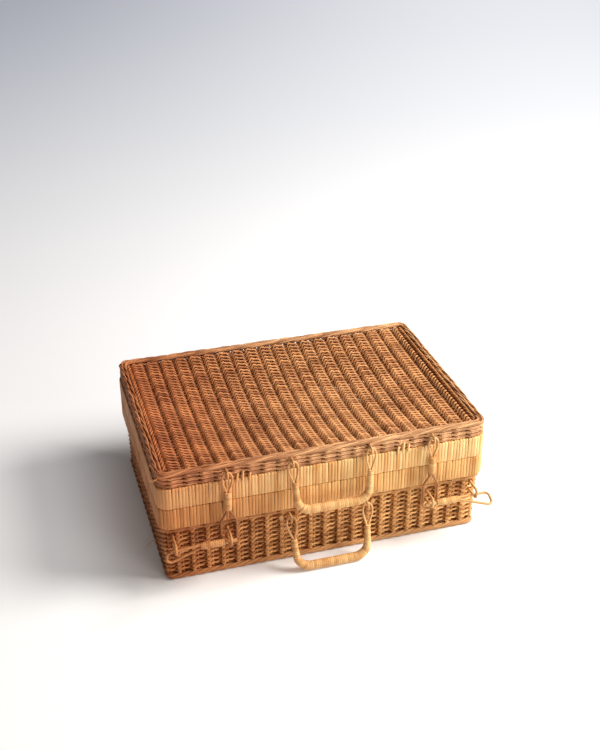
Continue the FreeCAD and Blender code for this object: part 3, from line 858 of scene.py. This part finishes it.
class HAMPER_OT_bindings(bpy.types.Operator):
    """Bind both rims with strips of flat cane"""

    bl_idname = "hamper.bindings"
    bl_label = "Rim bindings"

    def execute(self, context):
        sizes = context.scene.hamper_sizes
        for number, body in enumerate(("base", "lid")):
            node = body + "_rim_wrap"
            low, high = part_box(node)
            inner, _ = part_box(body + "_rim_hoop")
            skin = inner.y - low.y
            path = bpy.data.objects.new("path", case_line(0.0, low.z, sizes.corner_radius))
            context.scene.collection.objects.link(path)
            height = high.z - low.z
            strip = strip_mesh(sizes.strip_spacing, sizes.strip_thickness, RIM_DEPTH, height, skin)
            cut_corners = (8 - math.tau) * sizes.corner_radius
            distance = 2 * (high.x - low.x + high.y - low.y) - cut_corners
            grow(body + "_rim_binding", binding_tree(), strip, body, body + "_binding", [node], {
                "Path": path, "Strips": round(distance / sizes.strip_spacing), "Raggedness": 0.00018,
                "Seed": 31 + number,
            })
            bpy.data.objects.remove(path)
        return {"FINISHED"}


def strip_mesh(spacing, thickness, depth, height, rounding):
    """One closed turn of flat cane round a rim: it faces -Y, and its foot is at the origin."""
    width = spacing * 0.99
    profile = [(-0.5, 0.40), (-0.38, 1.0), (0.38, 1.0), (0.5, 0.40), (0.0, 0.0)]
    centres = [(rounding, rounding), (depth - rounding, rounding),
               (depth - rounding, height - rounding), (rounding, height - rounding)]
    rounds = (0.15, 0.35, 0.65, 0.85, 0.5)      # how far round the strip each point of its profile is
    turn_points = 3
    vertices = []
    along = []
    for turn, (y, z) in enumerate(centres):
        for step in range(turn_points):
            angle = math.radians(180 + 90 * turn + 90 * step / (turn_points - 1))
            for across, out in profile:
                radius = rounding - thickness * (1 - out)
                place = (across * width, y + radius * math.cos(angle), z + radius * math.sin(angle))
                vertices.append(place)
                along.append(z + y)
    rings = len(centres) * turn_points
    sides = len(profile)
    faces = []
    for ring in range(rings):
        after = (ring + 1) % rings
        for side in range(sides):
            near = (side + 1) % sides
            corners = ((ring, side), (after, side), (after, near), (ring, near))
            faces.append(tuple(turn * sides + point for turn, point in corners))
    mesh = bpy.data.meshes.new("strip")
    mesh.from_pydata(vertices, [], faces)
    mesh.attributes.new("along", "FLOAT", "POINT").data.foreach_set("value", along)
    mesh.attributes.new("around", "FLOAT", "POINT").data.foreach_set("value", rounds * rings)
    return mesh


class HAMPER_OT_windings(bpy.types.Operator):
    """Wind the handles, the hasps' necks and the pegs with cane"""

    bl_idname = "hamper.windings"
    bl_label = "Windings"

    def execute(self, context):
        sizes = context.scene.hamper_sizes
        for number, handle in enumerate(HANDLES):
            self.wind(handle, "_wrap", handle_line(handle), sizes.handle_winding, 41 + number, {
                "Radius": HANDLE_RADIUS, "End radius": 0.0038, "Taper": 0.050,
            })
        for number, side in enumerate(SIDES):
            hasp = "hasp_" + side
            low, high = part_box(hasp + "_neck")
            middle = (low + high) / 2
            line = [(middle.x, middle.y, high.z), (middle.x, middle.y, low.z)]
            self.wind_sleeve(hasp, "_neck", line, (high.x - low.x) / 2, sizes, 51 + number)
            peg = "peg_" + side
            low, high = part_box(peg + "_wrap")
            middle = (low + high) / 2
            line = [(low.x, middle.y, middle.z), (high.x, middle.y, middle.z)]
            self.wind_sleeve(peg, "_wrap", line, (high.z - low.z) / 2, sizes, 61 + number)
        return {"FINISHED"}

    def wind_sleeve(self, body, part, line, radius, sizes, seed):
        """A short straight winding, a little thinner at its ends."""
        radii = {"Radius": radius, "End radius": radius * 0.86, "Taper": 0.008}
        self.wind(body, part, line, sizes.latch_winding, seed, radii)

    def wind(self, body, part, line, winding, seed, radii):
        grow(body + "_winding", winding_tree(), line_mesh(line), body, "handle_binding", [body + part], {
            **radii, "Winding": winding, "Groove": 0.0006, "Step": winding / 10, "Corners": 24, "Seed": seed,
        })


def handle_line(handle):
    """The middle line of a handle's winding: down one leg, along the grip and up the other leg."""
    bend = 0.018
    bend_steps = 8
    eye_length = 0.026
    half_grip = 0.0475
    pivot = PIVOTS[handle]
    low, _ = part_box(handle + "_wrap")
    grip = Vector((pivot.x, low.y + HANDLE_RADIUS, low.z + HANDLE_RADIUS))
    down = grip - pivot
    length = down.length
    down.normalize()

    def on_leg(side, distance):
        out = HANDLE_HALF_SPAN + (half_grip - HANDLE_HALF_SPAN) * distance / length
        return pivot + down * distance + Vector((side * out, 0.0, 0.0))

    def half_line(side):
        """From an eye down its leg and round the bend to the grip."""
        top = on_leg(side, eye_length)
        corner = on_leg(side, length)
        leg = (top - corner).normalized()
        grip_way = Vector((-side, 0.0, 0.0))
        half_angle = leg.angle(grip_way) / 2
        reach = bend / math.tan(half_angle)
        centre = corner + (leg + grip_way).normalized() * bend / math.sin(half_angle)
        start = corner + leg * reach - centre
        end = corner + grip_way * reach - centre
        sweep = start.angle(end)
        points = [top]
        for step in range(bend_steps + 1):
            share = step / bend_steps
            arm = start * math.sin((1 - share) * sweep) + end * math.sin(share * sweep)
            points.append(centre + arm / math.sin(sweep))
        return points

    return half_line(-1) + half_line(1)[::-1]


class HAMPER_OT_eyes(bpy.types.Operator):
    """Bend the eyes that the handles and hasps hang by"""

    bl_idname = "hamper.eyes"
    bl_label = "Eyes"

    def execute(self, context):
        sizes = context.scene.hamper_sizes
        for handle in HANDLES:
            points = handle_line(handle)
            for side, sign, end in (("left", -1, points[0]), ("right", 1, points[-1])):
                top = PIVOTS[handle] + Vector((sign * HANDLE_HALF_SPAN, 0.0, 0.0))
                self.bend(handle + "_eye_" + side, handle, top, end, sizes)
        for side in SIDES:
            body = "hasp_" + side
            _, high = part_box(body + "_neck")
            pivot = PIVOTS[body]
            self.bend(body + "_eye", body, pivot, Vector((pivot.x, pivot.y, high.z)), sizes)
        return {"FINISHED"}

    def bend(self, node, body, pivot, end, sizes):
        """A pointed oval round its ring, whose two ends run side by side into the winding."""
        above = 0.0043
        fullness = 1.38
        narrowing = 1.3
        tail_length = 0.006
        half_count = 24
        down = end - pivot
        length = down.length
        down.normalize()
        across = Vector((0.0, 1.0, 0.0)).cross(down).normalized()
        cane = sizes.thin_cane / 2
        points = []
        for number in range(-half_count, half_count + 1):
            share = (number / half_count) ** 2
            oval = sizes.eye_width * fullness * math.sqrt(share) * (1.0 - share) ** narrowing
            out = oval + cane * (1.0 - (1.0 - share) ** 3)
            reach = share * (length + above) - above
            points.append(pivot + down * reach + across * math.copysign(out, number))
        tail = down * tail_length
        points = [points[0] + tail] + points + [points[-1] + tail]
        grow(node + "_cane", rope_tree(), line_mesh(points), body, "thin_cane", [node], {
            "Strand radius": cane, "Points": 90, "Strands": 1, "Corners": 10, "Seed": 71,
        })


# How far along the front each loose strip stands, and how high it reaches
LOOSE_STRIPS = (
    (-0.119, 0.007),
    (-0.112, 0.010),
    (-0.103, 0.006),
    (0.094, 0.006),
    (0.101, 0.011),
    (0.108, 0.008),
)


class HAMPER_OT_loose_ends(bpy.types.Operator):
    """Add the strips that stand up over the lid's waling, and a few stray whiskers of cane"""

    bl_idname = "hamper.loose_ends"
    bl_label = "Loose ends"

    def execute(self, context):
        low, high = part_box("lid_wale")
        strips = []
        for place, reach in LOOSE_STRIPS:
            foot = Vector((place, low.y - 0.0004, low.z - 0.003))
            middle = Vector((place, low.y - 0.0007, low.z + 0.4 * reach))
            tip = Vector((place + 0.0012, low.y + 0.0010, low.z + reach))
            strips.append((foot, middle, tip))
        self.lay("lid_loose_strips", strips, 0.0017, "lid", "lid_binding")
        root = Vector((low.x + 0.004, low.y + 0.006, high.z))
        whiskers = [
            self.whisker(root, (-0.007, -0.004, -0.003), (-0.013, -0.005, 0.001)),
            self.whisker(root, (-0.005, -0.007, 0.001), (-0.009, -0.011, 0.005)),
            self.whisker(root, (-0.003, 0.006, 0.005), (-0.008, 0.014, 0.010)),
        ]
        self.lay("lid_whiskers", whiskers, 0.0004, "lid", "thin_cane")
        low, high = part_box("base_wall")
        root = Vector((low.x + 0.004, low.y + 0.045, low.z + 0.030))
        whiskers = [self.whisker(root, (-0.012, -0.003, -0.001), (-0.024, -0.008, -0.006))]
        self.lay("base_whisker", whiskers, 0.0004, "base", "side_weave")
        return {"FINISHED"}

    def whisker(self, root, middle, tip):
        return root, root + Vector(middle), root + Vector(tip)

    def lay(self, name, lines, radius, body, slot):
        """Lines of three points each, as thin round cane."""
        points = [point for line in lines for point in line]
        mesh = bpy.data.meshes.new("lines")
        edges = [(number, number + 1) for number in range(len(points) - 1) if (number + 1) % 3]
        mesh.from_pydata([tuple(point) for point in points], edges, [])
        grow(name, rope_tree(), mesh, body, slot, None, {
            "Strand radius": radius, "Points": 12, "Strands": 1, "Corners": 8, "Seed": 81,
        })


class HAMPER_OT_fittings(bpy.types.Operator):
    """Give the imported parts, such as rings, staples, pins, hinges and hoops, their cane and wood"""

    bl_idname = "hamper.fittings"
    bl_label = "Fittings"

    def execute(self, context):
        for part in frame["record"]["subparts"]:
            node = frame["nodes"][part["node"]]
            node.data.materials.clear()
            kind = "bow_cane" if part["node"].endswith("_bow") else part["material_slot"]
            node.data.materials.append(carried_finish(kind))
        return {"FINISHED"}


class HAMPER_OT_stage(bpy.types.Operator):
    """Set up the pale ground with its painted glow and painted shadow, the light and the camera"""

    bl_idname = "hamper.stage"
    bl_label = "Stage"

    def execute(self, context):
        self.lay_ground(context.scene)
        self.hang_lights(context.scene)
        self.stand_camera(context.scene)
        context.scene.view_settings.view_transform = "Standard"
        return {"FINISHED"}

    def lay_ground(self, scene):
        half = 9.0
        mesh = bpy.data.meshes.new("ground")
        corners = [(-half, -half, 0.0), (half, -half, 0.0), (half, half, 0.0), (-half, half, 0.0)]
        mesh.from_pydata(corners, [], [(0, 1, 2, 3)])
        ground = bpy.data.objects.new("ground", mesh)
        scene.collection.objects.link(ground)
        material, g = shader_graph("ground")
        spot = g.take("ShaderNodeTexCoord", None, None, "Object")
        x, y, _ = g.parts_of(spot)
        # Painted light: the ground glows, grey close by, and further off dim to the left and bright to the right.
        away = g.eased(y * 0.96 + x * 0.29, -0.4, 2.6)
        rightward = g.eased(x * 0.96 - y * 0.29, -1.5, 1.1)
        painted_ground_light = g.mixed(rightward, (0.26, 0.275, 0.325, 1.0), (0.70, 0.72, 0.76, 1.0))
        painted_ground_light = g.mixed(away, (0.35, 0.34, 0.335, 1.0), painted_ground_light)
        # Painted shadow: the glow fades to almost nothing close round the basket's foot, darkest right beside it.
        out = g.math("MAXIMUM", abs(x) / 0.22, abs(y) / 0.152)
        past_painted_shadow = g.eased(out, 0.9, 1.6)
        painted_ground_light = g.mixed(past_painted_shadow, (0.06, 0.055, 0.05, 1.0), painted_ground_light)
        shader = g.take("ShaderNodeBsdfPrincipled", None, {
            "Base Color": (0.80, 0.81, 0.83, 1.0), "Roughness": 0.9, "Emission Color": painted_ground_light,
            "Emission Strength": 1.0,
        })
        g.node("ShaderNodeOutputMaterial", None, {"Surface": shader})
        mesh.materials.append(material)

    def hang_lights(self, scene):
        self.hang_light(scene, "key", (1.30, -0.42, 1.30), 1.0, 56.0, (1.0, 0.95, 0.88))
        self.hang_light(scene, "front_fill", (1.2, -2.5, 1.2), 1.6, 22.0, (1.0, 0.95, 0.88))
        world = bpy.data.worlds.new("sky")
        scene.world = world
        world.use_nodes = True
        sky = world.node_tree.nodes["Background"]
        sky.inputs["Color"].default_value = (0.97, 0.98, 1.0, 1.0)
        sky.inputs["Strength"].default_value = 0.08

    def hang_light(self, scene, name, place, width, power, colour):
        light = bpy.data.lights.new(name, "AREA")
        light.shape = "DISK"
        light.size = width
        light.energy = power
        light.color = colour
        lamp = bpy.data.objects.new(name, light)
        lamp.location = place
        middle = Vector((0.0, 0.0, 0.08))
        lamp.rotation_mode = "QUATERNION"
        lamp.rotation_quaternion = (middle - lamp.location).to_track_quat("-Z", "Y")
        scene.collection.objects.link(lamp)

    def stand_camera(self, scene):
        """A long lens, above and to the left of the front."""
        camera = bpy.data.cameras.new("camera")
        camera.lens = 54.3
        stand = bpy.data.objects.new("camera", camera)
        stand.location = (-0.3774, -1.2762, 0.9515)
        ahead = Vector((0.25096, 0.83087, -0.49667))
        stand.rotation_mode = "QUATERNION"
        stand.rotation_quaternion = ahead.to_track_quat("-Z", "Y")
        scene.collection.objects.link(stand)
        scene.camera = stand


PIECES = (
    HAMPER_OT_lid_top,
    HAMPER_OT_lid_sides,
    HAMPER_OT_base_sides,
    HAMPER_OT_floor,
    HAMPER_OT_bindings,
    HAMPER_OT_windings,
    HAMPER_OT_eyes,
    HAMPER_OT_loose_ends,
    HAMPER_OT_fittings,
    HAMPER_OT_stage,
)


class HAMPER_PT_panel(bpy.types.Panel):
    """The hamper's sizes, colours and pieces"""

    bl_label = "Hamper"
    bl_idname = "HAMPER_PT_panel"
    bl_space_type = "VIEW_3D"
    bl_region_type = "UI"
    bl_category = "Hamper"

    def draw(self, context):
        for group in (context.scene.hamper_sizes, context.scene.hamper_colours):
            box = self.layout.box()
            for name in type(group).__annotations__:
                box.prop(group, name)
        for piece in PIECES:
            self.layout.operator(piece.bl_idname)


CLASSES = (HamperSizes, HamperColours, *PIECES, HAMPER_PT_panel)


def register():
    for item in CLASSES:
        bpy.utils.register_class(item)
    bpy.types.Scene.hamper_sizes = PointerProperty(type=HamperSizes)
    bpy.types.Scene.hamper_colours = PointerProperty(type=HamperColours)


def unregister():
    del bpy.types.Scene.hamper_colours
    del bpy.types.Scene.hamper_sizes
    for item in reversed(CLASSES):
        bpy.utils.unregister_class(item)


def main():
    register()
    bpy.ops.hamper.lid_top()
    bpy.ops.hamper.lid_sides()
    bpy.ops.hamper.base_sides()
    bpy.ops.hamper.floor()
    bpy.ops.hamper.bindings()
    bpy.ops.hamper.windings()
    bpy.ops.hamper.eyes()
    bpy.ops.hamper.loose_ends()
    bpy.ops.hamper.fittings()
    bpy.ops.hamper.stage()


if __name__ == "__main__":
    main()
